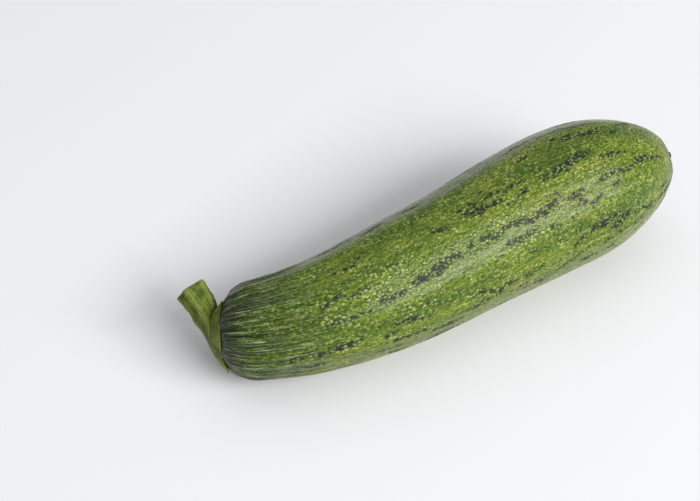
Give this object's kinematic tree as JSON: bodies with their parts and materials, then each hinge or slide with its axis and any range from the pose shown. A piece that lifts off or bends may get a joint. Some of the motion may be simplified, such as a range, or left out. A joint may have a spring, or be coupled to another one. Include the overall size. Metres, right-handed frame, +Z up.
{
  "type": "zucchini",
  "caption": "Whole green zucchini lying on its side, with a curved neck, a lobed cut stem and a small dried flower scar at the blunt end.",
  "frame": {"origin": "on the surface that the zucchini lies on, under the middle of its bounding box", "axes": "+X runs from the stem to the flower end, +Y is the side that the neck and the stalk curve towards, +Z is up"},
  "size_m": [0.1802, 0.0504, 0.049],
  "materials": {
    "skin": "waxy vegetable skin, light green with broken dark green streaks, darker bands and fine pale flecks",
    "stalk": "fleshy ribbed stalk, yellowish green with a drying cut face",
    "cork": "dried corky flower scar, grey brown"
  },
  "bodies": {
    "root": {"fruit": "skin", "stem": "stalk", "blossom_scar": "cork"}
  },
  "joints": []
}
